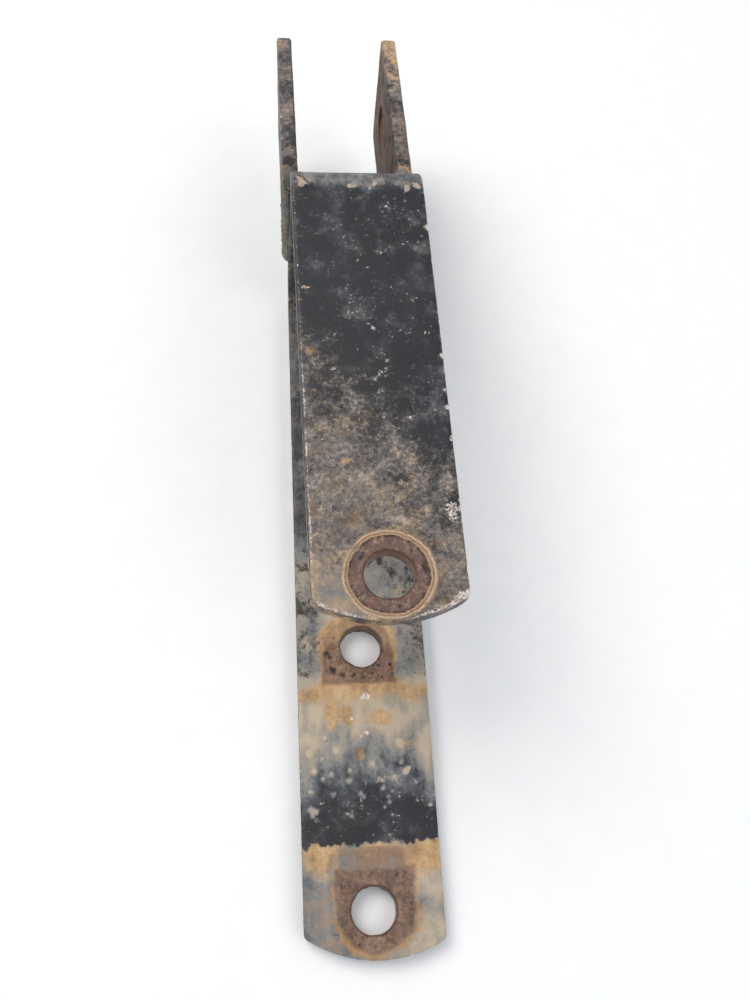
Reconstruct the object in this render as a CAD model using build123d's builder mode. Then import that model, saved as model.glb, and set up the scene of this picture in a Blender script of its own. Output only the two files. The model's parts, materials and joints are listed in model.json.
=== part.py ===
"""Bolt-on clamp bracket: a flat bar bent into a C with one long and one short leg, and a fork of
two ears welded to the back of its web. Millimetres, +Z up, standing on the long leg.
The bar runs along Y, the ears point to +Y, and X is across the bar."""
import math
import os

from build123d import *

os.makedirs("parts", exist_ok=True)

# Flat bar
bar_width = 40.0          # 40 x 5 hot-rolled flat for the strap and for both ears
bar_thick = 5.0
edge_round = 0.7          # rolled long edges of the flat

# Bent strap
lower_leg = 226.0         # rounded end to the back of the web
upper_leg = 148.0
strap_height = 70.0       # underside of the long leg to the top of the short one
bend_outside = 12.0       # outside radius of both bends
end_radius = 38.0         # large-radius arc on the end of each leg

# Holes, all for M12
bolt_hole = 13.0
end_hole_inset = 13.0     # end hole, from the rounded end of the long leg
jaw_hole_inset = 12.0     # jaw hole, from the rounded end of the short leg
ear_hole_inset = 20.0     # cross hole, from the square end of an ear

# Ears
ear_length = 68.0         # along the top edge
ear_slope = 6.5           # degrees, falling away from the web
ear_root_top = 63.0       # top edge of an ear where it meets the web
ear_corner = 2.5          # knocked-off corners of the free end

# Welds
fillet_leg = 5.0          # bead inside the fork
fillet_bulge = 0.58       # its crown, as a share of the leg along both faces
inner_lift = 2.0          # gap between the bottom of the root and the start of the inner bead
outer_lift = 1.0          # the same for the outer bead
seam_radius = 3.0         # bead over the flush outer seam
seam_proud = 1.5          # how far that bead stands off the side
top_radius = 4.0          # bead over the top of the root, between the ear and the bend
top_sunk = 1.5            # how far its centre lies below the top edge of the ear

# Derived positions, centred over the whole length
slope = math.radians(ear_slope)
ear_reach = ear_length * math.cos(slope) - ear_corner * (math.cos(slope) + math.sin(slope) - 1)
half_length = (lower_leg + ear_reach) / 2
tip_y = -half_length                      # rounded end of the long leg
web_y = tip_y + lower_leg                 # back face of the web
upper_tip_y = web_y - upper_leg           # rounded end of the short leg
end_hole_y = tip_y + end_hole_inset
jaw_y = upper_tip_y + jaw_hole_inset      # one axis through both legs
half_width = bar_width / 2
end_sagitta = end_radius - math.sqrt(end_radius**2 - half_width**2)
bead_top = strap_height - bend_outside    # the web is flat up to here
margin = 2.0                              # how far a cutting body overshoots

# Ear outline in its own (y, z) plane, from the top of the root round to the bottom of the root
along = (math.cos(slope), -math.sin(slope))
down = (-math.sin(slope), -math.cos(slope))
root_top = (web_y, ear_root_top)
tip_top = (web_y + ear_length * along[0], ear_root_top + ear_length * along[1])
tip_low = (tip_top[0] + bar_width * down[0], tip_top[1] + bar_width * down[1])
root_low = (web_y, ear_root_top - bar_width / math.cos(slope))
from_root = ear_length - ear_hole_inset
cross_y = web_y + from_root * along[0] + bar_width / 2 * down[0]
cross_z = ear_root_top + from_root * along[1] + bar_width / 2 * down[1]


# ---- strap: side profile swept across the width, then the arc ends and the holes cut ----
with BuildPart() as strap:
    with BuildSketch(Plane.YZ.offset(-half_width)):
        with BuildLine():
            FilletPolyline(
                (tip_y, 0), (web_y, 0), (web_y, strap_height), (upper_tip_y, strap_height),
                radius=bend_outside)
            Line((upper_tip_y, strap_height), (upper_tip_y, strap_height - bar_thick))
            FilletPolyline(
                (upper_tip_y, strap_height - bar_thick),
                (web_y - bar_thick, strap_height - bar_thick),
                (web_y - bar_thick, bar_thick), (tip_y, bar_thick),
                radius=bend_outside - bar_thick)
            Line((tip_y, bar_thick), (tip_y, 0))
        make_face()
    extrude(amount=bar_width)

    # rolled edges: every edge that runs along the bar on its two sides
    side = [e for e in strap.edges() if abs(abs(e.center().X) - half_width) < 1e-6
            and e.length > bar_thick + margin]
    fillet(side, edge_round)

    # arc ends: keep what lies inside each leg's rounded outline
    for tip, underside in ((tip_y, 0), (upper_tip_y, strap_height - bar_thick)):
        corner_y = tip + end_sagitta
        with BuildSketch(Plane.XY.offset(underside - margin)):
            with BuildLine():
                ThreePointArc((-half_width, corner_y), (0, tip), (half_width, corner_y))
                Polyline((half_width, corner_y), (half_width + margin, corner_y),
                         (half_width + margin, tip - margin), (-half_width - margin, tip - margin),
                         (-half_width - margin, corner_y), (-half_width, corner_y))
            make_face()
        extrude(amount=bar_thick + 2 * margin, mode=Mode.SUBTRACT)

    with Locations((0, end_hole_y, bar_thick / 2)):
        Cylinder(bolt_hole / 2, bar_thick * 2, mode=Mode.SUBTRACT)
    with Locations((0, jaw_y, strap_height / 2)):
        Cylinder(bolt_hole / 2, strap_height + margin, mode=Mode.SUBTRACT)
strap.part.label = "strap"


# ---- ears: the same flat, trimmed to the web, flush with the strap's two edges ----
def ear_blank(x_near):
    """The outline of an ear at one side, bar_thick thick from x_near towards +X."""
    with BuildPart() as ear:
        with BuildSketch(Plane.YZ.offset(x_near)) as outline:
            with BuildLine():
                Polyline(root_top, tip_top, tip_low, root_low, root_top)
            make_face()
            ends = outline.vertices().sort_by(Axis.X)[-2:]
            fillet(ends, ear_corner)
        extrude(amount=bar_thick)
        with BuildSketch(Plane.YZ.offset(x_near - margin)):
            with Locations((cross_y, cross_z)):
                Circle(bolt_hole / 2)
        extrude(amount=bar_thick + 2 * margin, mode=Mode.SUBTRACT)
    return ear


with BuildPart() as ear_left:
    add(ear_blank(-half_width))
ear_left.part.label = "ear_left"

with BuildPart() as ear_right:
    add(ear_blank(half_width - bar_thick))
ear_right.part.label = "ear_right"


# ---- weld beads: each sits face to face on the web and on its ear ----
def inner_bead(side_sign):
    """Slightly convex fillet in the corner between an ear's inner face and the web."""
    x_face = side_sign * (half_width - bar_thick)
    low = root_low[1] + inner_lift
    crown = fillet_leg * fillet_bulge
    with BuildPart() as bead:
        with BuildSketch(Plane.XY.offset(low)):
            with BuildLine():
                Line((x_face, web_y), (x_face - side_sign * fillet_leg, web_y))
                ThreePointArc((x_face - side_sign * fillet_leg, web_y),
                              (x_face - side_sign * crown, web_y + crown),
                              (x_face, web_y + fillet_leg))
                Line((x_face, web_y + fillet_leg), (x_face, web_y))
            make_face()
        extrude(amount=bead_top - low)
        add(strap.part, mode=Mode.SUBTRACT)
    return bead


def outer_bead(side_sign):
    """Low round bead over the flush seam on the outside of an ear."""
    low = root_low[1] + outer_lift
    middle = (low + bead_top) / 2
    with BuildPart() as bead:
        with Locations((side_sign * half_width, web_y, middle)):
            Cylinder(seam_radius, bead_top - low)
        # flat face that the bead is flattened to
        with Locations((side_sign * (half_width + seam_radius + seam_proud), web_y, middle)):
            Box(2 * seam_radius, 4 * seam_radius, bead_top, mode=Mode.SUBTRACT)
        for neighbour in (strap, ear_left, ear_right):
            add(neighbour.part, mode=Mode.SUBTRACT)
    return bead


def top_bead(side_sign, seam):
    """Bead across the thickness of an ear, over the top of its root and onto the bend."""
    with BuildPart() as bead:
        centre = (side_sign * (half_width - bar_thick / 2), web_y, ear_root_top - top_sunk)
        with Locations(Location(centre, (0, 90, 0))):
            Cylinder(top_radius, bar_thick)
        for neighbour in (strap, ear_left, ear_right, seam):
            add(neighbour.part, mode=Mode.SUBTRACT)
    return bead


with BuildPart() as weld_left_inner:
    add(inner_bead(-1))
weld_left_inner.part.label = "weld_left_inner"

with BuildPart() as weld_left_outer:
    add(outer_bead(-1))
weld_left_outer.part.label = "weld_left_outer"

with BuildPart() as weld_left_top:
    add(top_bead(-1, weld_left_outer))
weld_left_top.part.label = "weld_left_top"

with BuildPart() as weld_right_inner:
    add(inner_bead(1))
weld_right_inner.part.label = "weld_right_inner"

with BuildPart() as weld_right_outer:
    add(outer_bead(1))
weld_right_outer.part.label = "weld_right_outer"

with BuildPart() as weld_right_top:
    add(top_bead(1, weld_right_outer))
weld_right_top.part.label = "weld_right_top"


export_step(strap.part, "parts/strap.step")
export_step(ear_left.part, "parts/ear_left.step")
export_step(ear_right.part, "parts/ear_right.step")
export_step(weld_left_inner.part, "parts/weld_left_inner.step")
export_step(weld_left_outer.part, "parts/weld_left_outer.step")
export_step(weld_left_top.part, "parts/weld_left_top.step")
export_step(weld_right_inner.part, "parts/weld_right_inner.step")
export_step(weld_right_outer.part, "parts/weld_right_outer.step")
export_step(weld_right_top.part, "parts/weld_right_top.step")
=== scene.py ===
"""Looks for the clamp bracket: plates and weld beads as fine meshes with rolled edges, pits and
as-built skew, under worn black paint, rust and bare steel. Shapes are worked out in millimetres
and become metres in the CAD's frame when a mesh is made."""

import json
import math
from types import SimpleNamespace

import bpy
import numpy as np
from mathutils import Matrix, Vector, geometry, noise


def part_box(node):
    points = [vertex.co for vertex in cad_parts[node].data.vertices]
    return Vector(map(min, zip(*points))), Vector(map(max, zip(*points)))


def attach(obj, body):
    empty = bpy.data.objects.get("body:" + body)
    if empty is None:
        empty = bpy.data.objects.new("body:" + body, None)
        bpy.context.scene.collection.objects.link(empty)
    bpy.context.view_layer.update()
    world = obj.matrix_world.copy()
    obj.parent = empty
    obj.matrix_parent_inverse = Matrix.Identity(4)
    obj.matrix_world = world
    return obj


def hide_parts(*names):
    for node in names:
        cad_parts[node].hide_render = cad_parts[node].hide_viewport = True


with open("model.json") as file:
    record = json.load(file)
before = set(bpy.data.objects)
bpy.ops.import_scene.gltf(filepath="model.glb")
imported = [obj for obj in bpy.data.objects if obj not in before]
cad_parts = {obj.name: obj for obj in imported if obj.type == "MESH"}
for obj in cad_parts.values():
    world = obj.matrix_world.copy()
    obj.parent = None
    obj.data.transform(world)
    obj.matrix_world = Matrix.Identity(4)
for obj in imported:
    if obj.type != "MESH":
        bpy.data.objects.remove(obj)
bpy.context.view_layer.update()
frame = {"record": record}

# ---------------------------------------------------------------- sizes, from the frame (mm)
MM = 1000.0
SKIN = 0.15                # share of the thickness that counts as part of one face
FAR_AWAY = 99.0            # in a field of distances, where there is nothing to be near
mounts = {m["name"]: m for m in frame["record"]["mounts"]}


def mm(vector):
    """A place in the frame's metres, in millimetres."""
    return np.array(vector, float) * MM


strap_low, strap_high = (mm(v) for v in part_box("strap"))
half_width = strap_high[0]
tip_y, web_y, height = strap_low[1], strap_high[1], strap_high[2]
thick = mm(mounts["jaw_floor"]["pos_m"])[2]
bolt_radius = mounts["jaw_bolt"]["dims"]["r_mm"]
end_hole_y = mm(mounts["end_bolt"]["pos_m"])[1]
jaw_hole_y = mm(mounts["jaw_bolt"]["pos_m"])[1]
cross_hole = mm(mounts["cross_bolt"]["pos_m"])
jaw_hole_inset = 12.0      # from the rounded end of the short leg
bend_outside = 12.0
end_radius = 38.0
ear_slope = math.radians(6.5)
ear_length, ear_hole_inset = 68.0, 20.0

# ---------------------------------------------------------------- as-built skew (mm, radians)
upper_shift, upper_yaw = 0.72, 0.0151      # the short leg leans and turns towards +X
lower_end_slant = -0.055                   # the long leg's end was cut a little out of square
ear_offset = {"left": -1.64, "right": -0.82}   # both ears were welded on a little towards -X
ear_splay = {"left": -0.0094, "right": -0.0052}
ear_extra = {"left": 0.2, "right": 0.8}        # both were cut a little long

# ---------------------------------------------------------------- the bent bar's centreline
bend_middle = bend_outside - thick / 2
low_run = web_y - bend_outside - tip_y
bend_run = bend_middle * math.pi / 2
web_run = height - 2 * bend_outside
upper_tip_y = jaw_hole_y - jaw_hole_inset
bend_1, web_1 = low_run, low_run + bend_run
bend_2 = web_1 + web_run
top_1 = bend_2 + bend_run
bar_length = top_1 + web_y - bend_outside - upper_tip_y
near_hole, far_hole = end_hole_y - tip_y, jaw_hole_y - tip_y    # both in the long leg
jaw_hole = bar_length - jaw_hole_inset                         # in the short leg
hole_stations = (near_hole, far_hole, jaw_hole)


def smooth(low, high, value):
    """0 below low, 1 above high, and an S between them."""
    t = np.clip((value - low) / (high - low), 0, 1)
    return t * t * (3 - 2 * t)


def bell(value, middle, width):
    """1 at the middle, falling to 0 over about twice the width to each side."""
    return np.exp(-((value - middle) / width) ** 2)


def turbulence(points, size, seed, octaves=3):
    """Fractal noise from about -1 to 1 at each point, with features of that size."""
    offset = Vector((seed * 17.3, seed * 5.1, seed * 9.7))
    fall, finer = 0.9, 2.1                      # how each octave fades, and how much finer it is
    return np.array([noise.fractal(Vector(p) / size + offset, fall, finer, octaves) for p in points])


def place_on_strap(u, s, w):
    """Points across u, along s and deep w (from the outside of the C) of the flat bar, once bent."""
    turn_1 = np.clip((s - bend_1) / bend_middle, 0, math.pi / 2)
    turn_2 = np.clip((s - bend_2) / bend_middle, 0, math.pi / 2)
    y = (tip_y + np.minimum(s, bend_1) + bend_middle * np.sin(turn_1)
         - bend_middle * (1 - np.cos(turn_2)) - np.maximum(s - top_1, 0))
    z = (thick / 2 + bend_middle * (1 - np.cos(turn_1)) + np.clip(s - web_1, 0, web_run)
         + bend_middle * np.sin(turn_2))
    turn = turn_1 + turn_2
    y = y - (w - thick / 2) * np.sin(turn)
    z = z + (w - thick / 2) * np.cos(turn)
    yaw = upper_yaw * smooth(bend_2, top_1, s)
    x = u + upper_shift * smooth(web_1, bend_2, s) + yaw * (web_y - y)
    return np.column_stack((x, y + yaw * u, z))


# ---------------------------------------------------------------- plates as fine meshes
def resample(points, spacing):
    """A closed line as evenly spaced points, its corners softened a little."""
    points = np.vstack((points, points[:1]))
    run = np.r_[0, np.cumsum(np.hypot(*np.diff(points, axis=0).T))]
    at = np.linspace(0, run[-1], round(run[-1] / spacing), endpoint=False)
    line = np.column_stack([np.interp(at, run, points[:, k]) for k in (0, 1)])
    for _ in range(3):
        line = (np.roll(line, 1, 0) + 2 * line + np.roll(line, -1, 0)) / 4
    return line


def outward(line):
    """Unit normals of a closed line that runs anticlockwise, to its outer side."""
    along = np.roll(line, -1, 0) - np.roll(line, 1, 0)
    along /= np.hypot(*along.T)[:, None]
    return np.column_stack((along[:, 1], -along[:, 0]))


def ring(centre, radius, spacing):
    """A circle as a clockwise closed line, so that its outer side is the hole's middle."""
    count = round(2 * math.pi * radius / spacing)
    a = np.linspace(0, -2 * math.pi, count, endpoint=False)
    return np.column_stack((centre[0] + radius * np.cos(a), centre[1] + radius * np.sin(a)))


def fill(loops, holes, spacing, fine_spacing, fine_reach):
    """Triangles over the area inside the first loop and outside the others.
    Returns the points, loops first, and the triangles."""
    row_share = 0.87           # rows this share of a step apart give nearly equal-sided triangles
    clear = 0.8                # inner points keep this share of a step off the borders
    batch, margin = 400, 2     # border points taken at a time, and how far round them to look
    low, high = loops[0].min(0), loops[0].max(0)

    def grid(step):
        x, y = np.meshgrid(np.arange(low[0], high[0], step),
                           np.arange(low[1], high[1], step * row_share))
        x[::2] += step / 2
        return np.column_stack((x.ravel(), y.ravel()))

    def away(points):
        """How far each point is from the nearest hole's middle."""
        return np.min([np.hypot(*(points - c).T) for c in holes], axis=0)

    coarse, fine = grid(spacing), grid(fine_spacing)
    coarse = coarse[away(coarse) > fine_reach + spacing / 2]
    fine = fine[away(fine) < fine_reach]
    inner = np.vstack((coarse, fine))
    border = np.vstack(loops)
    near = np.full(len(inner), np.inf)
    for start in range(0, len(border), batch):
        part = border[start:start + batch]
        band = (inner[:, 1] > part[:, 1].min() - margin) & (inner[:, 1] < part[:, 1].max() + margin)
        gap = np.hypot(inner[band, None, 0] - part[None, :, 0],
                       inner[band, None, 1] - part[None, :, 1])
        near[band] = np.minimum(near[band], gap.min(1))
    inner = inner[(near > fine_spacing * clear) & (away(inner) > bolt_radius)]
    edges, start = [], 0
    for loop in loops:
        edges += [(start + i, start + (i + 1) % len(loop)) for i in range(len(loop))]
        start += len(loop)
    points = np.vstack((border, inner))
    inside_only, same_place = 1, 1e-7
    made = geometry.delaunay_2d_cdt([Vector(p) for p in points], edges, [], inside_only, same_place)
    flat, triangles = np.array([tuple(v) for v in made[0]]), np.array(made[2])
    middle = flat[triangles].mean(1)
    return flat, triangles[(away(middle) > bolt_radius) & in_polygon(middle, loops[0])]


def in_polygon(points, line):
    """Which points are inside a closed line."""
    inside = np.zeros(len(points), bool)
    x, y = points.T
    for (x0, y0), (x1, y1) in zip(line, np.roll(line, -1, 0)):
        if y0 != y1:
            crosses = (y0 > y) != (y1 > y)
            inside ^= crosses & (x < (x1 - x0) * (y - y0) / (y1 - y0) + x0)
    return inside


def plate(outline, hole_centres, radii, hole_edge, spacing, fine_spacing, fine_reach):
    """A flat plate with rounded edges: (across, along, depth) of each vertex, its direction out of
    the nearest edge, and its faces. radii gives each outline point's edge radius."""
    loops = [outline] + [ring(c, bolt_radius, fine_spacing) for c in hole_centres]
    rounds = [radii] + [np.full(len(loop), hole_edge) for loop in loops[1:]]
    inset = [loop - outward(loop) * r[:, None] for loop, r in zip(loops, rounds)]
    flat, triangles = fill(inset, hole_centres, spacing, fine_spacing, fine_reach)
    count = len(flat)
    points = [np.column_stack((flat, np.zeros(count))),
              np.column_stack((flat, np.full(count, thick)))]
    out = [np.zeros((2 * count, 2))]
    faces = [tuple(t[::-1]) for t in triangles] + [tuple(t + count) for t in triangles]
    # The rows of vertices down an edge: how far each is pulled in and how deep it is, both in edge
    # radii, and its share of the straight part between the two roundings.
    arc = np.linspace(0, math.pi / 2, 4)[1:]
    rows = [(1 - math.sin(a), 1 - math.cos(a), 0) for a in arc]
    rows += [(0, 1, k) for k in (0.2, 0.4, 0.6, 0.8)]
    rows += [(1 - math.sin(a), 1 - math.cos(a), 1) for a in arc[::-1]]
    used, start = 2 * count, 0
    for loop, r in zip(loops, rounds):
        size, normal = len(loop), outward(loop)
        previous = np.arange(start, start + size)
        for pull, deep, share in rows:
            depth = deep * r + share * (thick - 2 * deep * r)
            row = loop - normal * (pull * r)[:, None]
            points.append(np.column_stack((row, depth)))
            out.append(normal * (1 - pull))
            current = np.arange(used, used + size)
            faces += quads(previous, current)
            previous, used = current, used + size
        faces += quads(previous, np.arange(start, start + size) + count)
        start += size
    return np.vstack(points), np.vstack(out), faces


def quads(a, b):
    """Faces between two closed rows of vertices."""
    return list(zip(a, np.roll(a, -1), np.roll(b, -1), b))


def make_mesh(name, points, faces, fields, finish, node):
    """A smooth-shaded piece in metres that stands for a CAD node, with its named fields."""
    mesh = bpy.data.meshes.new(name)
    mesh.from_pydata([tuple(p) for p in points / MM], [], [tuple(map(int, f)) for f in faces])
    mesh.validate()
    for key, values in fields.items():
        vector = np.ndim(values) == 2
        kind = "FLOAT_VECTOR" if vector else "FLOAT"
        data = mesh.attributes.new(key, kind, "POINT").data
        data.foreach_set("vector" if vector else "value", np.asarray(values, np.float32).ravel())
    mesh.polygons.foreach_set("use_smooth", [True] * len(mesh.polygons))
    mesh.materials.append(finish)
    piece = bpy.data.objects.new(name, mesh)
    bpy.context.scene.collection.objects.link(piece)
    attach(piece, "root")
    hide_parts(node)


# ---------------------------------------------------------------- shader nodes in short calls
def srgb(*colour):
    """A colour given as 0 to 255 on screen, as the shader's linear numbers."""
    return tuple((c / 255 / 12.92) if c < 11 else ((c / 255 + 0.055) / 1.055) ** 2.4
                 for c in colour) + (1.0,)


class Finish:
    """A node material, with short calls for the nodes the finishes use."""

    def __init__(self, name):
        self.material = bpy.data.materials.new(name)
        self.material.use_nodes = True
        self.nodes = self.material.node_tree.nodes
        self.shader = self.nodes["Principled BSDF"]

    def set(self, socket, value):
        """Links another node's output to a socket, or gives the socket a plain value."""
        if isinstance(value, bpy.types.NodeSocket):
            self.material.node_tree.links.new(value, socket)
        else:
            socket.default_value = value

    def field(self, name, output="Fac"):
        """A named value that the mesh carries at each vertex."""
        node = self.nodes.new("ShaderNodeAttribute")
        node.attribute_name = name
        return node.outputs[output]

    def math(self, operation, a, b=0.0, c=0.0):
        """Blender's Math node on up to three values."""
        node = self.nodes.new("ShaderNodeMath")
        node.operation = operation
        for socket, value in zip(node.inputs, (a, b, c)):
            self.set(socket, value)
        return node.outputs[0]

    def add(self, *terms):
        """The sum of the terms. A term in brackets is a product, such as (noise, its share)."""
        values = [self.times(*term) if isinstance(term, tuple) else term for term in terms]
        total = values[0]
        for value in values[1:]:
            total = self.math("ADD", total, value)
        return total

    def times(self, a, b):
        return self.math("MULTIPLY", a, b)

    def inverse(self, a):
        return self.math("SUBTRACT", 1.0, a)

    def scaled(self, at, shares):
        """The same coordinates, scaled along each axis."""
        node = self.nodes.new("ShaderNodeVectorMath")
        node.operation = "MULTIPLY"
        self.set(node.inputs[0], at)
        self.set(node.inputs[1], shares)
        return node.outputs[0]

    def turned(self, at):
        """The same coordinates, turned so that noise doesn't line up with the plate's edges."""
        node = self.nodes.new("ShaderNodeMapping")
        self.set(node.inputs["Vector"], at)
        self.set(node.inputs["Rotation"], (0.7, 0.5, 0.6))
        return node.outputs[0]

    def noise(self, at, size, detail=4.0, rough=0.6, seed=0.0):
        """Noise centred on 0, mostly between -1 and 1, with features of that size."""
        gain = 7.0                                  # the node's own values crowd round 0.5
        node = self.nodes.new("ShaderNodeTexNoise")
        node.noise_dimensions = "4D"
        for key, value in (("Vector", at), ("W", seed), ("Scale", 1 / size), ("Detail", detail),
                           ("Roughness", rough)):
            self.set(node.inputs[key], value)
        return self.math("MULTIPLY_ADD", node.outputs[0], gain, -gain / 2)

    def step(self, low, high, value):
        """0 up to low, 1 from high, smooth between."""
        node = self.nodes.new("ShaderNodeMapRange")
        node.interpolation_type = "SMOOTHSTEP"
        for key, number in (("Value", value), ("From Min", low), ("From Max", high)):
            self.set(node.inputs[key], number)
        return node.outputs[0]

    def ramp(self, value, *stops):
        """A colour from a value, between stops of (place, colour)."""
        node = self.nodes.new("ShaderNodeValToRGB")
        elements = node.color_ramp.elements
        while len(elements) < len(stops):
            elements.new(0.5)
        for element, (place, colour) in zip(elements, stops):
            element.position, element.color = place, colour
        self.set(node.inputs[0], value)
        return node.outputs[0]

    def mix(self, share, a, b):
        """Colour a turning into colour b by a share."""
        node = self.nodes.new("ShaderNodeMix")
        node.data_type = "RGBA"
        colour_a, colour_b, colour_result = 6, 7, 2     # the node has sockets for each data type
        self.set(node.inputs["Factor"], share)
        self.set(node.inputs[colour_a], a)
        self.set(node.inputs[colour_b], b)
        return node.outputs[colour_result]

    def blend(self, share, a, b):
        """Number a turning into number b by a share."""
        node = self.nodes.new("ShaderNodeMix")
        number_a, number_b, number_result = 2, 3, 0
        self.set(node.inputs["Factor"], share)
        self.set(node.inputs[number_a], a)
        self.set(node.inputs[number_b], b)
        return node.outputs[number_result]

    def finish(self, colour, roughness, metallic, height, depth):
        """Connects the shader. depth is in metres for a height of 1."""
        self.set(self.shader.inputs["Base Color"], colour)
        self.set(self.shader.inputs["Roughness"], roughness)
        self.set(self.shader.inputs["Metallic"], metallic)
        bump = self.nodes.new("ShaderNodeBump")
        bump.inputs["Distance"].default_value = depth
        self.set(bump.inputs["Height"], height)
        self.set(self.shader.inputs["Normal"], bump.outputs[0])
        return self.material


# ---------------------------------------------------------------- the finishes
def plate_finish():
    """Black paint over steel. A plate's fields say, above 0, where it is bare, tan with rust,
    crusted brown, worn bright (with painted glints at its whitest) or still black (with a painted
    shade line), how dusty it looks, painted sheen included, and how crowded with chips it is, and
    how far off its holes are."""
    f = Finish("worn_black_paint")
    flat = f.field("flat", "Vector")
    at = f.turned(flat)
    bare, tan, brown, haze, worn, black, crowd, bore, seat = (f.field(k) for k in (
        "bare", "tan", "brown", "haze", "worn", "black", "crowd", "bore", "seat"))
    broad = f.noise(at, 18, 3, 0.5, 1)
    cloud = f.noise(at, 8, 4, 0.55, 18)
    patch = f.noise(at, 4, 6, 0.62, 2)
    grain = f.noise(at, 1.2, 5, 0.7, 3)
    grit = f.noise(at, 0.45, 3, 0.7, 4)
    streak = f.noise(f.scaled(flat, (1.0, 0.14, 1.0)), 1.8, 4, 0.6, 5)

    # bare steel, mottled from black pits to pale dust
    mottle = f.add(0.5, (grain, 0.20), (grit, 0.12), (patch, 0.13), (cloud, 0.08))
    steel = f.ramp(mottle, (0.12, srgb(40, 36, 36)), (0.34, srgb(86, 77, 72)),
                   (0.52, srgb(115, 105, 97)), (0.70, srgb(143, 129, 115)),
                   (0.92, srgb(192, 178, 162)))
    ochre = f.step(-0.1, 0.9, f.add(f.noise(at, 6, 5, 0.6, 9), (grain, 0.3)))
    steel = f.mix(f.times(ochre, 0.8), steel, f.ramp(
        mottle, (0.2, srgb(72, 58, 44)), (0.55, srgb(130, 108, 82)), (0.9, srgb(182, 156, 122))))
    plum = f.step(0.0, 1.0, f.noise(at, 3.5, 4, 0.6, 6))
    steel = f.mix(f.times(plum, 0.45), steel, f.ramp(
        mottle, (0.2, srgb(44, 40, 48)), (0.55, srgb(88, 82, 90)), (0.9, srgb(180, 172, 176))))

    # paint, smeared paler here and there
    tone = f.add(0.42, (broad, 0.16), (cloud, 0.10), (grit, 0.05))
    paint = f.ramp(tone, (0.1, srgb(12, 13, 18)), (0.45, srgb(21, 22, 28)), (0.8, srgb(42, 43, 48)),
                   (1.0, srgb(62, 63, 67)))
    smear = f.step(0.0, 1.5, f.add(f.noise(at, 4.5, 6, 0.62, 10), (cloud, 0.4),
                                   (f.step(-1.2, 0.4, bare), 0.75)))
    paint = f.mix(f.times(smear, 0.60), paint, f.ramp(
        f.add(0.5, (grain, 0.2), (cloud, 0.15)), (0.1, srgb(56, 57, 62)),
        (0.6, srgb(84, 83, 85)), (1.0, srgb(120, 116, 110))))

    # dusty film and painted sheen, grey where thin and warm where thick, with black paint showing
    # through; the sheen is a painted reflection of the sky on the long leg and a painted highlight
    # over the top bend
    dust_and_sheen = f.ramp(f.add(haze, (patch, 0.07), (streak, 0.05), (grain, 0.05), (cloud, 0.13)),
                  (0.0, srgb(54, 59, 68)), (0.35, srgb(88, 92, 99)), (0.6, srgb(126, 126, 124)),
                  (0.85, srgb(164, 152, 135)), (1.0, srgb(186, 169, 147)))
    # how much of that dusty film and painted sheen lies over the paint
    dusty = f.step(-0.7, 0.7, f.add(f.math("MULTIPLY_ADD", haze, 2.4, -1.0), (patch, 0.35),
                                    (streak, 0.12), (grain, 0.14), (cloud, 0.22)))
    paint = f.mix(f.times(dusty, 0.95), paint, dust_and_sheen)

    # chips and flecks
    chip = f.step(1.1, 1.45, f.add(f.noise(at, 2.3, 4, 0.6, 7), (patch, 0.2), crowd))
    kind = f.noise(at, 4.0, 1, 0.5, 22)
    chip_colour = f.ramp(f.add(0.5, (kind, 0.3)), (0.1, srgb(196, 168, 150)),
                         (0.3, srgb(150, 144, 138)), (0.5, srgb(188, 168, 148)),
                         (0.7, srgb(156, 140, 116)), (0.9, srgb(198, 182, 168)))
    surface = f.mix(f.times(chip, 0.8), paint, chip_colour)
    speck = f.noise(at, 0.9, 3, 0.6, 8)
    fleck = f.step(0.9, 1.7, f.add(speck, (patch, 0.3), (cloud, 0.25), (crowd, 0.2)))
    surface = f.mix(f.times(fleck, 0.85), surface, f.ramp(
        f.add(0.5, (kind, 0.3)), (0.1, srgb(196, 194, 192)), (0.5, srgb(150, 144, 136)),
        (0.9, srgb(196, 178, 164))))

    # where the paint has gone, leaving black flakes, and pale specks that are painted glints
    gone = f.step(-0.9, 0.9, f.add(bare, (patch, 0.38), (grain, 0.40), (grit, 0.24), (cloud, 0.22)))
    flake = f.step(0.6, 1.2, f.add(f.noise(at, 1.8, 5, 0.65, 15), (patch, 0.25), (cloud, 0.25)))
    steel = f.mix(f.times(flake, 0.75), steel, srgb(46, 44, 50))
    steel = f.mix(f.times(chip, 0.7), steel, f.mix(0.35, chip_colour, srgb(178, 146, 112)))
    # pale specks on the bare steel: painted glints
    steel = f.mix(f.times(fleck, 0.45), steel, srgb(222, 212, 206))
    pepper = f.step(0.9, 1.4, f.noise(at, 0.8, 3, 0.6, 23))
    steel = f.mix(f.times(pepper, 0.8), steel, srgb(34, 31, 34))
    # the same dusty film and painted sheen over bare steel
    dust_film_and_sheen = f.times(f.step(0.35, 0.8, f.add(haze, (patch, 0.08), (grain, 0.06))), 0.65)
    surface = f.mix(gone, surface, f.mix(dust_film_and_sheen, steel, dust_and_sheen))

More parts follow.
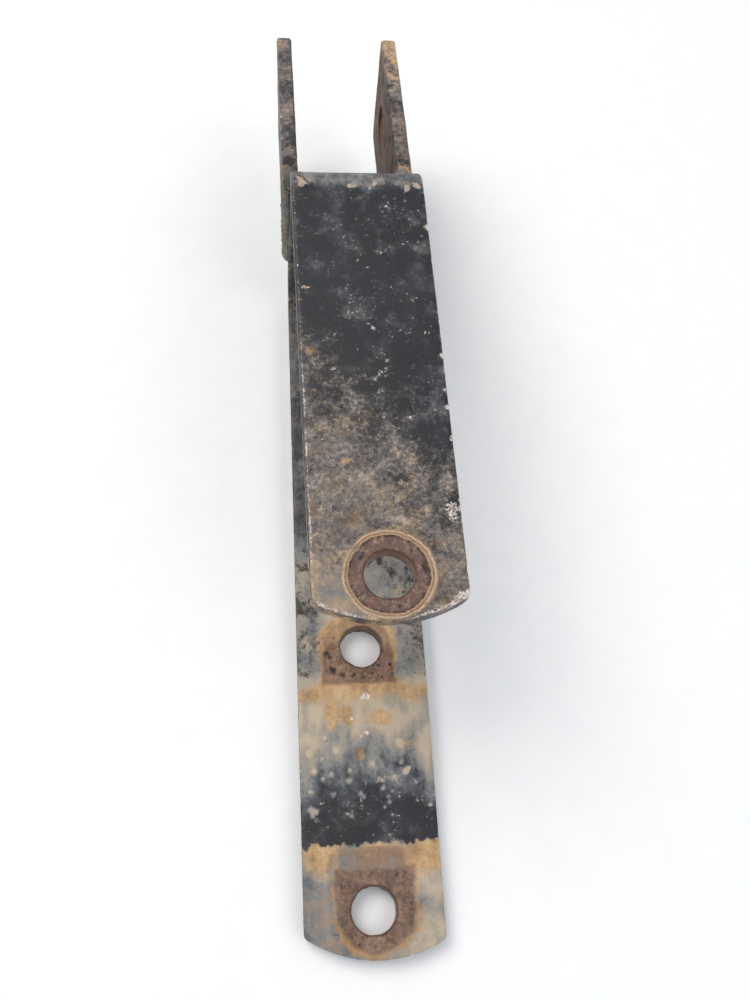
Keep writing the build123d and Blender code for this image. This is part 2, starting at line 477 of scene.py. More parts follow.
    # rust films and crusts
    orange = f.ramp(f.add(0.5, (grain, 0.12), (patch, 0.10), (streak, 0.06), (cloud, 0.14)),
                    (0.05, srgb(108, 76, 50)), (0.35, srgb(162, 125, 84)),
                    (0.6, srgb(193, 158, 115)), (0.95, srgb(218, 190, 152)))
    rusty = f.step(-0.6, 0.7, f.add(tan, (patch, 0.36), (streak, 0.10),
                                    (grain, 0.2), (cloud, 0.30)))
    surface = f.mix(f.times(rusty, 0.95), surface, orange)
    crust = f.ramp(f.add(0.5, (grain, 0.14), (patch, 0.12), (cloud, 0.10), (grit, 0.08)),
                   (0.1, srgb(46, 36, 35)), (0.35, srgb(92, 69, 58)), (0.6, srgb(134, 105, 88)),
                   (0.95, srgb(176, 143, 120)))
    crusted = f.step(-0.5, 0.5, f.add(brown, (patch, 0.26), (grain, 0.16), (cloud, 0.16)))
    surface = f.mix(f.times(crusted, 0.94), surface, crust)
    pit = f.step(1.2, 1.7, f.add(f.noise(at, 2.4, 5, 0.6, 16), (brown, 0.5)))
    surface = f.mix(f.times(f.times(pit, crusted), 0.85), surface, srgb(40, 34, 36))

    # the round washer seat: brown annulus, a dark line painted as shade at the sunk rim, two pale
    # ridges
    radius = f.add(seat, (patch, 0.20), (grain, 0.13), (cloud, 0.16))
    seat_reach = 14.0
    # the stop at 10.2 mm is that painted shade line
    rings = ((6.4, (130, 96, 72)), (7.3, (108, 84, 76)), (9.5, (102, 79, 73)),
             (10.2, (46, 35, 32)), (10.65, (190, 154, 118)), (11.1, (122, 92, 68)),
             (11.55, (204, 175, 146)), (12.0, (146, 122, 98)))
    band = f.ramp(f.math("DIVIDE", radius, seat_reach),
                  *((r / seat_reach, srgb(*colour)) for r, colour in rings))
    band = f.mix(f.times(f.step(-0.2, 1.2, f.add(grain, (grit, 0.4), (patch, 0.3))), 0.8),
                 band, srgb(172, 146, 126))
    band = f.mix(f.times(f.step(0.0, 1.5, f.add(patch, (grain, 0.4))), 0.7), band,
                 srgb(88, 62, 48))
    inside_line = f.inverse(f.step(9.8, 10.6, radius))
    pitted = f.step(0.5, 1.2, f.add(f.noise(at, 3.2, 5, 0.6, 16), (grain, 0.25)))
    band = f.mix(f.times(pitted, inside_line), band, srgb(44, 37, 40))
    band = f.mix(f.times(f.times(f.step(-0.2, 1.0, cloud), 0.55), inside_line), band,
                 srgb(84, 66, 68))
    red = f.step(0.2, 1.0, f.noise(at, 2.4, 4, 0.6, 17))
    band = f.mix(f.times(f.times(red, 0.45), inside_line), band, srgb(122, 74, 56))
    seated = f.inverse(f.step(11.7, 12.3, f.add(radius, (broad, 0.25), (patch, 0.2))))
    surface = f.mix(f.times(seated, 0.95), surface, band)

    # rusty bores with a dark rim
    rim = f.inverse(f.step(0.2, 0.8, f.add(bore, (grain, 0.2))))
    wall = f.inverse(f.step(0.0, 0.05, bore))
    surface = f.mix(f.times(rim, 0.75), surface, srgb(64, 46, 38))
    surface = f.mix(f.times(wall, 0.8), surface, f.ramp(
        f.add(0.5, (grain, 0.2), (patch, 0.2)), (0.1, srgb(56, 40, 32)),
        (0.6, srgb(112, 82, 60)), (1.0, srgb(160, 126, 92))))

    # paint and grime left black, and a painted shade line along the short leg's left edge on top
    dark = f.step(-0.3, 0.4, f.add(black, (patch, 0.50), (grain, 0.28), (grit, 0.14)))
    surface = f.mix(f.times(dark, 0.92), surface, srgb(30, 28, 32))

    # edges worn to the metal; the ramp's near-white top is painted glints on that metal
    bright = f.step(-0.2, 0.3, f.add(worn, (grain, 0.30), (patch, 0.16), (grit, 0.16)))
    surface = f.mix(f.times(bright, 0.92), surface, f.ramp(
        f.add(0.5, (grit, 0.26), (grain, 0.2)), (0.1, srgb(92, 76, 72)),
        (0.4, srgb(168, 150, 142)), (0.6, srgb(222, 208, 200)), (0.85, srgb(252, 248, 246))))

    covered = f.math("MAXIMUM", f.math("MAXIMUM", rusty, crusted), seated)
    rough_ground = f.math("MAXIMUM", gone, covered)
    rough = f.blend(gone, f.add(0.42, (grit, 0.06), (dusty, 0.3)),
                    f.add(0.62, (grit, 0.1)))
    rough = f.blend(covered, rough, 0.85)
    rough = f.blend(bright, rough, 0.4)
    relief = f.add((grain, f.blend(rough_ground, 0.05, 0.26)),
                   (grit, f.blend(rough_ground, 0.03, 0.16)),
                   (gone, -0.3), (f.math("MAXIMUM", chip, fleck), -0.3), (rusty, 0.2), (flake, 0.2))
    return f.finish(surface, rough, f.times(bright, 0.4), relief, 0.00025)


def weld_finish():
    """Weld metal: dusty grey paint over ripples and spatter, rusted through in places."""
    f = Finish("rusted_weld")
    at = f.field("flat", "Vector")
    patch = f.noise(at, 3.5, 4, 0.6, 11)
    grain = f.noise(at, 1.0, 5, 0.7, 12)
    grit = f.noise(at, 0.4, 3, 0.7, 13)
    metal = f.ramp(f.add(0.5, (grain, 0.2), (grit, 0.12)), (0.1, srgb(56, 52, 50)),
                   (0.4, srgb(108, 105, 101)), (0.65, srgb(146, 140, 132)),
                   (0.95, srgb(194, 186, 174)))
    rust = f.ramp(f.add(0.5, (grain, 0.3)), (0.1, srgb(88, 62, 44)), (0.6, srgb(146, 114, 80)),
                  (0.95, srgb(186, 154, 116)))
    rusty = f.step(-0.3, 1.0, f.add(patch, (grain, 0.3)))
    painted = f.step(0.0, 1.0, f.add(f.noise(at, 5, 4, 0.6, 14), (grain, 0.3)))
    surface = f.mix(f.times(rusty, 0.45), metal, rust)
    surface = f.mix(f.times(painted, 0.45), surface, srgb(50, 49, 51))
    rough = f.add(0.7, (grit, 0.1))
    return f.finish(surface, rough, 0.0, f.add((grain, 0.3), (grit, 0.2)), 0.0003)


def floor_finish():
    """Plain pale floor, with a faint grain."""
    f = Finish("pale_floor")
    at = f.nodes.new("ShaderNodeTexCoord").outputs["Object"]
    speckle = f.noise(at, 0.012, 5, 0.6, 21)
    f.shader.inputs["Specular IOR Level"].default_value = 0.2
    pale = f.ramp(f.add(0.5, (speckle, 0.3)), (0.0, (0.86, 0.865, 0.87, 1)),
                  (1.0, (0.90, 0.90, 0.90, 1)))
    return f.finish(pale, 0.8, 0.0, speckle, 0.00005)


# ---------------------------------------------------------------- the strap
# u is across the bar, s along it from the long leg's tip, w deep from the outside of the C, all in
# mm. Each mark in the tables below is (across, along, size), placed as in the photograph.
def end_line(u):
    """How far the rounded end lies back from its tip, across the bar."""
    return end_radius - np.sqrt(end_radius**2 - u**2)


def strap_outline():
    """The flat bar's outline, both ends rounded."""
    across = np.linspace(-half_width, half_width, 81)
    lower = np.column_stack((across, end_line(across) + lower_end_slant * across))
    upper = np.column_stack((across[::-1], bar_length - end_line(across[::-1])))
    return resample(np.vstack((lower, upper)), 0.6)


def spots(u, s, places):
    """The sum of soft round spots, each (across, along, size)."""
    return sum(np.exp(-((u - x) ** 2 + (s - y) ** 2) / size**2) for x, y, size in places)


def between(s, low, high, soft=2.0):
    """1 between low and high, fading outside over the soft length."""
    return smooth(low - soft, low + soft, s) * smooth(high + soft, high - soft, s)


def foot_mark(u, beyond, middle, half, end, arch_middle, back):
    """How far outside a foot's imprint each point lies. beyond runs from the hole, with the square
    end at -end and an arch round a point at -back. middle and half give the straight sides."""
    arch_radius, well_inside = 12.2, -9.0
    arch = np.hypot(u - arch_middle, beyond + back) - arch_radius
    arch = np.where(beyond > -back, arch, well_inside)
    return np.maximum(np.maximum(np.abs(u - middle) - half, -end - beyond), arch)


def strap_places(flat):
    """What the fields are made from: the face each point is on, how far it lies from the edges,
    the holes and the marks, and noise in a few sizes."""
    u, s, w = flat.T
    p = SimpleNamespace(u=u, s=s, w=w)
    p.a = bar_length - s                                   # along the short leg, from its tip
    p.side = np.abs(u)
    p.wobble = turbulence(flat, 9.0, seed=1)
    p.ripple = turbulence(flat, 3.0, seed=2)
    fringe = turbulence(np.column_stack((u, s * 0.35, w)), 1.6, seed=7)
    p.ragged = s + 1.1 * p.ripple + 1.3 * fringe           # s, made uneven for a ragged border

    p.on_outside = w < SKIN * thick
    p.jaw_side = (s < bend_1) & (w > (1 - SKIN) * thick)   # the long leg's face that looks up
    p.show = (s > top_1) & p.on_outside                    # the short leg's face that looks up
    p.outer_half = w < thick / 2

    lean = 0.95                                            # the ends' edges run aslant to the bar
    lower_end = (s - end_line(u) - lower_end_slant * u) * lean
    p.upper_end = (p.a - end_line(u)) * lean
    p.gap = np.minimum(half_width - p.side, np.minimum(lower_end, p.upper_end))
    p.edge = np.maximum(np.maximum(p.gap, 0), np.minimum(w, thick - w))
    from_holes = np.min([np.hypot(u, s - h) for h in hole_stations], axis=0)
    p.bore = np.maximum(from_holes - bolt_radius, 0)
    p.seat = np.where(p.show, np.hypot(u, s - jaw_hole), FAR_AWAY)
    p.far_mark = foot_mark(u, s - far_hole, middle=-1.1, half=11.2, end=11.7, arch_middle=-1.1,
                           back=2) + 0.3 * p.ripple
    p.near_mark = foot_mark(u, near_hole - s, middle=0.6, half=11.4, end=11.2, arch_middle=0.7,
                            back=1) + 0.7 * p.wobble + 0.5 * p.ripple
    p.mark = np.where(p.jaw_side, np.minimum(p.far_mark, p.near_mark), FAR_AWAY)
    p.low_left = p.a + 0.9 * u + 18                        # from the short leg's left corner
    spatter = spots(u, s, ((-18.3, top_1 - 4, 3.0), (-17.0, top_1 - 1, 2.0)))
    p.spatter = np.where(p.outer_half, spatter, 0)
    return p


def bare_field(p):
    """Bare steel: towards the short leg's tip, and in patches on the faces that don't show."""
    towards_tip = np.clip((45 - 0.95 * p.u - p.a) / 28, -1.5, 1.0) + 0.25 * p.wobble
    hidden = (~p.show & ~p.jaw_side) | (p.jaw_side & (p.s > 114))
    return np.where(hidden, -0.35 + 0.5 * p.wobble, np.where(p.show, towards_tip, -1.6))


def brown_field(p):
    """Brown crust: inside both foot imprints, in a strip above the near one and thinly at the left
    of the near end. The far imprint is darkest at its square end."""
    strip = (0.31 * between(p.s, 22, 30, 1.5) - 0.2 - 1.8 * smooth(9, 12, p.side)
             - 2.0 * smooth(30, 32, p.s))
    left_end = -0.22 - 0.5 * smooth(-6, 6, p.u) - 2.0 * smooth(19, 25, p.s)
    near = np.maximum(np.maximum(np.minimum(-p.near_mark / 1.9, 0.9), strip), left_end)
    dark_part = smooth(far_hole + 3, far_hole - 6, p.s + 2.0 * p.ripple)
    far = np.minimum(-p.far_mark / 1.5, 0.6 + 1.3 * dark_part) - 0.7 * (1 - dark_part)
    return np.where(p.jaw_side, np.where(p.s > 60, far, near), -2.0)


def tan_field(p):
    """Tan rust: around the imprints, in drips and bands between them, and in spots on top."""
    u, s, a, side = p.u, p.s, p.a, p.side
    halo = np.exp(-np.clip(p.mark, 0, None) / 2.0)
    drips = sum(bell(u - 0.8 * p.ripple, x, wide) * between(s, low, high, 2.5)
                for x, low, high, wide in (
                    (-9.9, 65, 72, 1.9), (-5.3, 66, 71, 1.6), (-2.2, 54, 60, 2.2),
                    (5.0, 65.5, 69.5, 2.8), (14.2, 50, 52, 1.2), (13.0, 58, 61, 1.6)))
    corners = smooth(18, 27, s) * smooth(32.4, 30.6, p.ragged)
    long_leg = (
        -1.7 + 2.6 * halo * smooth(26, 60, s) + 2.6 * drips
        + between(s, 73, 78, 3) * (1.4 + 0.8 * smooth(10, 16, side))
        + 1.8 * between(s, far_hole - 3, far_hole + 12, 4) * smooth(2.0, -1.0, p.far_mark)
        + 0.95 * between(s, 62, 74, 3) * (0.8 + 0.7 * p.wobble)
        + corners * (1.8 + 0.75 * smooth(8, 14, u) + 0.7 * between(u, -18, -11, 3))
        + 1.9 * bell(p.near_mark, 0.5, 0.9) * smooth(24, 20, s) * (0.7 + p.ripple)
        + 0.7 * smooth(22, 14, s)
        + smooth(26, 20, s) * (0.5 * smooth(-10, -15, u) + 0.4 * smooth(11, 15, u))
        + between(s, 84, 100, 3) * smooth(9, 7, side) * (0.6 + 0.9 * p.wobble)
        + 1.3 * spots(u, s, ((-8.5, 5.5, 3.0), (-6, 3, 2.0), (0, 1, 2.0), (11, 14, 2.0))))
    short_leg = (
        -1.7 + 0.9 * smooth(60, 15, a)
        + 1.9 * spots(u, a, ((-17.0, 78.0, 2.4), (19.0, 120.6, 1.4), (-9.0, 44.0, 1.8)))
        + 1.2 * spots(u, a, ((13.5, 87.0, 2.4), (13.0, 73.0, 3.4), (-0.5, 55.0, 3.6),
                             (-12, 60, 3.0)))
        + 0.75 * smooth(34, 12, p.low_left) + 0.4 * bell(s, top_1, 1.6))
    return np.where(p.jaw_side, long_leg, short_leg) + 0.9 * p.spatter * (1 + p.ripple)


def haze_and_sheen_field(p):
    """Dusty film with painted sheen: thick below the far imprint, thinning to the black band with
    cream flecks in it, and thick again from the ragged line to the near end; its rise from the
    black band towards the far imprint is partly a painted reflection of the sky at grazing angles.
    On top, over the bend, where it is a painted highlight, and near the tip."""
    u, s, side = p.u, p.s, p.side
    drift = turbulence(np.column_stack((u, s * 0.45, p.w)), 5.0, seed=6)
    # partly painted sheen: the rise from the black band towards the far imprint stands for a
    # reflection of the sky at grazing angles
    thinning = 0.86 * np.clip((s - 39) / 29, 0, 1) - 0.20 * smooth(77, 84, s)
    far = (0.08 + thinning - 0.35 * smooth(116, 132, s)
           + 0.18 * smooth(13, 19, side) * between(s, 38, 62))
    near = 0.66 * smooth(31.8, 30.4, p.ragged) + 0.12 * smooth(-10, 14, u)
    speck_seed, speck_count = 11, 38
    draw = np.random.default_rng(speck_seed)
    specks = [(draw.uniform(-18, 18), draw.uniform(37.5, 62), draw.uniform(0.55, 1.05))
              for _ in range(speck_count)]
    flecked = np.clip(1.5 * spots(u, s, specks) - 0.4, 0, 1)
    broken = (
        0.26 * drift * between(s, 52, 75, 5) + 0.05 * between(s, 46, 60, 4)
        + (0.30 * drift - 0.10 * smooth(10, 8, side)) * between(s, 86, 112, 4)
        + 0.65 * flecked * (0.9 + 0.5 * p.ripple)
        + 0.14 * between(s, 22, 30.5, 1.5) * smooth(14, 11, side)
        + 0.09 * smooth(24, 20, s) * smooth(-14, 4, u))
    haze = np.where(p.jaw_side, np.where(s < 36, near, far) + broken, 0.10)
    # a painted highlight over the top bend
    bend_highlight = between(s, bend_2 + 5, top_1 + 0.3, 3)
    haze = np.where(p.outer_half & (s > bend_2 - 6), 0.12 + 0.42 * bend_highlight, haze)
    on_top = (0.14 * smooth(95, 50, p.a) * smooth(6, 16, u)
              + 0.70 * smooth(34, 12, p.low_left + 3 * p.wobble))
    return np.where(p.show, haze + on_top, haze)


def black_field(p):
    """What is left black: a scribble on top, a line along the left edge on top that is painted
    shade, dark crescents and spots round the seat's hole, pits in the far imprint, and paint up
    the long leg, from the sides of the far imprint on."""
    u, s, a = p.u, p.s, p.a
    around = np.degrees(np.arctan2(jaw_hole - s, u))       # round the seat, from its right side
    scribble = ((0.6, 38.2, 0.8), (2.2, 39.8, 0.9), (3.6, 38.2, 1.0), (5.2, 39.3, 0.9),
                (6.4, 37.9, 0.8))
    short_leg = (
        2.7 * spots(u, a, scribble)
        + 1.9 * bell(p.seat, 7.2, 0.7) * bell(around, 36, 24)
        + 1.8 * bell(p.seat, 8.4, 1.2) * bell(around, 142, 14)
        + 1.3 * spots(u, s - jaw_hole, ((-7.0, 4.5, 1.2), (2.0, 8.6, 1.5), (-3, 9, 1.0)))
        # painted shade: a dark line along the left edge on top; weaker darkening along the other
        # edges
        + np.where((u < 0) & (a > 4), 1.95, 0.45) * smooth(0.5, 0.25, p.gap))
    long_leg = (
        (1.26 - 0.06 * np.clip(u / 12, -1, 1)) * between(s, 79, 108, 3) * smooth(9, 14, p.side)
        + (1.2 + 0.4 * p.wobble) * between(s, 108, 300, 6)
        + 1.5 * spots(u, s, (
            (-9.2, 82.4, 1.8), (-6.0, 81.0, 1.5), (0.2, 80.2, 1.7), (9.2, 80.8, 1.6),
            (-10.6, 88, 1.3), (-3.0, 83.2, 1.1), (5.0, 80.6, 1.0), (8.8, 84.0, 0.9),
            (-8.4, 93.0, 0.8))))
    return -1.3 + np.where(p.show, short_leg, 0) + np.where(p.jaw_side, long_leg, 0)


def worn_field(p):
    """Bright metal: thin along the edges, wider near the tip, scraped at the right edge and in pale
    dabs. Down the left edge on top it is a line just inside the edge."""
    u, s, a = p.u, p.s, p.a
    pale_below = 2.2 * spots(u, s, ((1.1, 74.3, 0.9), (-0.3, 73.9, 0.8), (0.6, 63.0, 0.6),
                                    (-4.0, 67.5, 0.5), (-1.3, 62.0, 0.45)))
    pale_on_top = spots(u, a, (
        (1.8, 70.4, 1.3), (0.2, 68.6, 1.1), (3.6, 71.8, 0.9), (19.2, 120.6, 1.2),
        (0.0, 86.5, 1.2), (1.3, 85.0, 0.9), (-2.3, 74.6, 1.0), (9.0, 56.5, 0.9),
        (19.3, 65.0, 1.0), (19.4, 59.5, 0.9), (19.3, 50.0, 1.0), (19.3, 76.0, 0.8)))
    pale = np.where(p.jaw_side, pale_below, 0) + np.where(p.show, pale_on_top, 0)
    width = np.where(p.show, 0.05 + 0.5 * smooth(9, 4, a), 0)
    scrape = (1.2 * bell(u, 17.6, 2.0) * bell(a, 29.0, 4.5)
              + 1.8 * bell(u, 17.6, 3.4) * bell(a, 6.5, 3.0) * smooth(3.4, 0.8, p.upper_end))
    worn = np.maximum(width - p.edge, -0.9) + np.where(p.show, scrape, 0) + pale
    line = 0.12 - 0.25 * smooth(60, 90, a) - 1.6 * np.abs(p.gap - 0.75)
    worn = np.where(p.show & (u < 0) & (a > 6), np.maximum(line, -0.9) + pale, worn)
    return np.where(p.seat < 12.6, worn - 0.7, worn)


def crowd_field(p):
    """How crowded the chips are: a little in the black band, most in a row at the top bend."""
    row = ((-18.0, -2.2, 1.0), (-16.6, -0.4, 1.0), (-14.4, -1.6, 0.9), (-2.6, 0.2, 1.2),
           (-0.6, -0.3, 1.0), (5.0, -0.4, 1.3), (14.9, 0.8, 1.5), (18.2, 0.0, 1.5))
    return (np.where(p.jaw_side, 0.15 * between(p.s, 38, 56, 4), 0.0) + 0.25 * p.wobble
            + 0.4 * p.spatter + np.where(p.on_outside, 1.9 * spots(p.u, p.s - top_1, row), 0))


def outer_share(w):
    """1 on the outer face, 0 from half depth on: how far relief of that face reaches."""
    return np.clip(1 - 2 * w / thick, 0, 1)


def build_strap(finish):
    """The bent bar: made flat, given its fields and its relief, then bent."""
    outline = strap_outline()
    end_zone, corner_zone = 6, 1.2              # how far the cut ends reach, less the corners
    cut_edge, rolled_edge, hole_edge = 0.45, 0.8, 0.4      # radii
    at_end = np.minimum(outline[:, 1], bar_length - outline[:, 1]) < end_zone
    cut = at_end & (np.abs(outline[:, 0]) < half_width - corner_zone)
    holes = [np.array((0.0, s)) for s in hole_stations]
    flat, out, faces = plate(outline, holes, np.where(cut, cut_edge, rolled_edge), hole_edge,
                             spacing=0.85, fine_spacing=0.45, fine_reach=13.5)
    u, s, w = flat.T
    p = strap_places(flat)
    bare = bare_field(p)
    fields = {"flat": flat, "bare": bare, "tan": tan_field(p), "brown": brown_field(p),
              "haze": haze_and_sheen_field(p), "worn": worn_field(p), "black": black_field(p),
              "crowd": crowd_field(p), "bore": p.bore, "seat": p.seat}

    # the surface in relief: seats and marks a little sunk, ridges round them, spatter on the bend
    rough = turbulence(flat, 2.2, seed=3)
    slow = turbulence(flat, 14.0, seed=4)
    outer = 0.10 * slow - 0.10 * np.maximum(rough, 0) * smooth(-0.4, 0.6, bare)
    outer += np.where(p.seat < 10.4, -0.14 + 0.09 * rough, 0)
    outer += 0.26 * bell(p.seat, 10.95, 0.42) + 0.16 * bell(p.seat, 11.9, 0.4)
    outer += (0.35 + 0.5 * np.abs(rough)) * p.spatter
    inner = 0.10 * slow - np.where(p.mark < 0, 0.14 - 0.08 * rough, 0)
    inner += 0.14 * bell(p.mark, 0.35, 0.5)
    inner = np.where(s < bend_1, inner, 0.1 * slow)
    w = w - outer * outer_share(w) + inner * outer_share(thick - w)
    nick = -0.22 * np.maximum(turbulence(flat, 2.6, seed=5) - 0.15, 0) + 0.05 * rough
    u, s = u + out[:, 0] * nick, s + out[:, 1] * nick
    make_mesh("strap_worn", place_on_strap(u, s, w), faces, fields, finish, "strap")


# ---------------------------------------------------------------- the ears
ear_root_z = (cross_hole[2] + half_width * math.cos(ear_slope)
              + (ear_length - ear_hole_inset) * math.sin(ear_slope))


def place_on_ear(side, a, b, w):
    """Points along a, down b and deep w (from the outer face) of an ear, as welded on."""
    sign = -1 if side == "left" else 1
    y = web_y + a * math.cos(ear_slope) - b * math.sin(ear_slope)
    z = ear_root_z - a * math.sin(ear_slope) - b * math.cos(ear_slope)
    x = sign * (half_width - w) + ear_offset[side] + ear_splay[side] * (y - web_y)
    return np.column_stack((x, y, z))


def build_ear(side, finish):
    """One ear of the fork: made flat like the strap, then stood on the web."""
    skew = 2 * half_width * math.tan(ear_slope)     # the root is cut to stand upright on the web
    length = ear_length + ear_extra[side]
    corner = 1.6                                    # radius of the free end's corners
    turn = np.linspace(-math.pi / 2, 0, 7)
    low = np.column_stack((length - corner + corner * np.cos(turn), corner + corner * np.sin(turn)))
    high = np.column_stack((low[::-1, 0], 2 * half_width - low[::-1, 1]))
    outline = resample(np.vstack(([(0, 0)], low, high, [(skew, 2 * half_width)])), 0.55)
    hole = np.array((ear_length - ear_hole_inset, half_width))
    flat, out, faces = plate(outline, [hole], np.full(len(outline), 1.0), hole_edge=0.5,
                             spacing=0.8, fine_spacing=0.5, fine_reach=12.0)
    a, b, w = flat.T
    seed = 20 if side == "left" else 30
    at = flat + seed * 13.0                         # each ear has its own part of the noise
    rough, slow = turbulence(at, 2.0, seed + 1), turbulence(at, 9.0, seed + 2)
    gap = np.min([b, 2 * half_width - b, length - a], axis=0)
    edge = np.maximum(np.maximum(gap, 0), np.minimum(w, thick - w))
    from_hole = np.hypot(a - hole[0], b - hole[1])
    inside = w > (1 - SKIN) * thick
    on_top = b < 1.4                                # the narrow top edge and its rounding
    none = np.zeros(len(a))
    tip = smooth(22, 60, a) if side == "right" else none   # only the right ear's tip is rusty
    bare = np.where(on_top, -0.2 - 0.8 * tip, -0.45) + 0.20 * slow
    tan = -1.4 + 1.6 * bell(a, 2.0, 4.0) + 0.2 * slow
    tan = tan + np.where(on_top, 1.65, np.where(inside, 1.4 * smooth(18, 6, b), 0)) * tip
    top_brown = -0.2 if side == "right" else -0.4
    brown = np.where(inside, 0.35 + 0.3 * slow + 0.6 * bell(from_hole, 8.0, 4.0), -0.9 + 0.5 * slow)
    brown = np.where(on_top, top_brown - 0.7 * tip, brown)
    fields = {"flat": at, "bare": bare, "tan": tan, "brown": brown,
              "haze": 0.24 + np.where(on_top, 0.30, 0.0) * tip,
              "worn": np.maximum(0.05 - edge, -0.8), "black": np.where(inside, -0.08, -1.1),
              "crowd": none, "bore": np.maximum(from_hole - bolt_radius, 0),
              "seat": none + FAR_AWAY}
    relief = 0.10 * slow + 0.06 * rough
    w = w - relief * outer_share(w)
    w = w + relief * outer_share(thick - w)
    nick = 0.10 * slow - 0.20 * np.maximum(rough - 0.1, 0)
    a, b = a + out[:, 0] * nick, b + out[:, 1] * nick
    points = place_on_ear(side, a, b, w)
    if side == "left":                              # mirrored, so its faces are turned round
        faces = [f[::-1] for f in faces]
    make_mesh(f"ear_{side}_worn", points, faces, fields, finish, f"ear_{side}")


# ---------------------------------------------------------------- the weld beads
def build_bead(name, start, end, first, second, section, finish, pitch=2.4, seed=1):
    """A bead from start to end. section is its outline, as closed points in the first and second
    directions; ripples follow at that pitch, and both ends round off."""
    start, end, first, second = (np.array(v, float) for v in (start, end, first, second))
    run = np.linalg.norm(end - start)
    along = (end - start) / run
    spacing, fewest = 0.35, 12
    end_length, end_share = 1.6, 0.25       # over which an end rounds off, and how small it gets
    swelling, trailing, lumps = 0.05, 0.25, 0.10            # shares of the section's size
    stations = np.linspace(0, 1, max(fewest, round(run / spacing)))
    points, faces = [], []
    size = len(section)
    for t in stations:
        near_end = min(1.0, min(t, 1 - t) * run / end_length)
        full = end_share + (1 - end_share) * math.sqrt(near_end * (2 - near_end))
        swell = 1 + swelling * math.sin(2 * math.pi * t * run / pitch)
        for p, q in section:
            back = trailing * math.hypot(p, q)      # ripples trail back towards the start
            points.append(start + along * (t * run - back)
                          + (first * p + second * q) * swell * full)
    points = np.array(points)
    lump = turbulence(points, 2.6, seed)
    middle = start + np.outer(np.repeat(stations, size) * run, along)
    points = points + (points - middle) * (lumps * lump)[:, None]
    row = np.arange(size)
    last = (len(stations) - 1) * size
    for first_point in range(0, last, size):
        faces += quads(first_point + row, first_point + size + row)
    faces.append(tuple(row[::-1]))
    faces.append(tuple(last + row))
    make_mesh(name + "_rough", points, faces, {"flat": points + seed * 31.0}, finish, name)


def arc_section(radius_1, radius_2, sink, count=18):
    """A quarter-round bead: a convex face between two walls, sunk a little into both."""
    face = [((radius_1 + sink) * math.cos(k) - sink, (radius_2 + sink) * math.sin(k) - sink)
            for k in np.linspace(0, math.pi / 2, count)]
    return face + [(-sink, -sink)]


def build_welds(finish):
    """Three beads for each ear: in the corner inside the fork, over the seam outside, and across
    the top of the root, as an oval bar mostly sunk in the ear."""
    inner_leg, outer_leg, sink = 4.6, 3.2, 0.5
    outer_proud = 0.35                          # over the ear's or the strap's side
    top_wide, top_high, top_inset = 3.4, 3.0, 0.3
    top_y, top_z = web_y - 0.6, ear_root_z - 2.2
    top_section = [(top_wide * math.cos(k), top_high * math.sin(k))
                   for k in np.linspace(0, 2 * math.pi, 24, endpoint=False)]
    for side, sign in (("left", -1), ("right", 1)):
        low, high = (mm(v)[2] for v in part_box(f"weld_{side}_inner"))
        face_x = sign * (half_width - thick) + ear_offset[side]
        build_bead(f"weld_{side}_inner", (face_x, web_y, low), (face_x, web_y, high),
                   (-sign, 0, 0), (0, 1, 0), arc_section(inner_leg, inner_leg, sink), finish,
                   seed=40 + sign)
        step = sign * ear_offset[side]          # how far the ear stands proud of the strap's edge
        seam_x = sign * (half_width + min(step, 0))
        build_bead(f"weld_{side}_outer", (seam_x, web_y, low - 1), (seam_x, web_y, high + 1),
                   (0, -math.copysign(1, step), 0), (sign, 0, 0),
                   arc_section(outer_leg, abs(step) + outer_proud, sink), finish, seed=50 + sign)
        x_0, x_1 = (mm(v)[0] + ear_offset[side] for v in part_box(f"weld_{side}_top"))
        build_bead(f"weld_{side}_top", (x_0 + top_inset, top_y, top_z),
                   (x_1 - top_inset, top_y, top_z), (0, 1, 0), (0, 0, 1), top_section, finish,
                   seed=60 + sign)


# ---------------------------------------------------------------- build everything
steel = plate_finish()
bead = weld_finish()
build_strap(steel)
build_ear("left", steel)
build_ear("right", steel)
build_welds(bead)

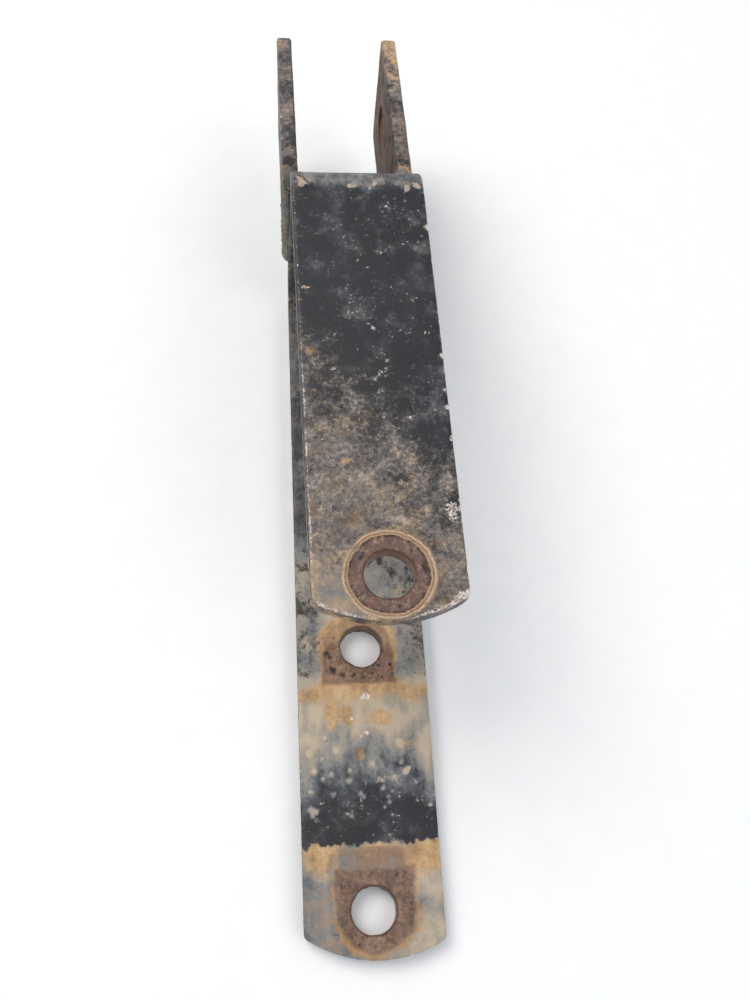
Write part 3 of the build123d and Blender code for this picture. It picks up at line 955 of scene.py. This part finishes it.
reach, floor_z = 3.0, -0.0004      # metres, the floor just clear of the long leg's weathered face
corners = [(-reach, -reach, floor_z), (reach, -reach, floor_z), (reach, reach, floor_z),
           (-reach, reach, floor_z)]
floor_mesh = bpy.data.meshes.new("floor")
floor_mesh.from_pydata(corners, [], [(0, 1, 2, 3)])
floor_mesh.materials.append(floor_finish())
floor = bpy.data.objects.new("floor", floor_mesh)
bpy.context.scene.collection.objects.link(floor)

# ---------------------------------------------------------------- camera and light (metres)
# The camera's place, turns and lens come from a least-squares fit to the photograph.
camera_place = (-0.0235038, -0.1370253, 0.2874934)
camera_turns = (("Z", -3.2199), ("Y", -4.7387), ("X", 22.5758))     # degrees, X applied first
focal_length, upward_shift = 33.645, 0.040     # mm, and a share of the sensor
lens = bpy.data.cameras.new("camera")
lens.sensor_width = 36.0
lens.lens = focal_length
lens.shift_y = upward_shift
camera = bpy.data.objects.new("camera", lens)
bpy.context.scene.collection.objects.link(camera)
camera.matrix_world = Matrix.Translation(camera_place)
for axis, degrees in camera_turns:
    camera.matrix_world = camera.matrix_world @ Matrix.Rotation(math.radians(degrees), 4, axis)
bpy.context.scene.camera = camera


def area_light(name, place, size, power, colour):
    """A round soft light aimed at the middle of the bracket."""
    aim = (0, 0, 0.03)
    data = bpy.data.lights.new(name, "AREA")
    data.shape, data.size, data.energy, data.color = "DISK", size, power, colour
    light = bpy.data.objects.new(name, data)
    bpy.context.scene.collection.objects.link(light)
    light.location = place
    light.rotation_euler = (Vector(aim) - Vector(place)).to_track_quat("-Z", "Y").to_euler()


area_light("key", (-0.5, 0.35, 0.9), 0.8, 7.0, (1.0, 0.98, 0.95))
area_light("fill", (0.7, -0.5, 0.8), 0.9, 3.0, (0.93, 0.96, 1.0))
world = bpy.data.worlds.new("soft_room")
bpy.context.scene.world = world
world.use_nodes = True
sky = world.node_tree.nodes["Background"]
sky.inputs["Color"].default_value = (0.95, 0.97, 1.0, 1)
sky.inputs["Strength"].default_value = 0.66
bpy.context.scene.view_settings.view_transform = "Standard"
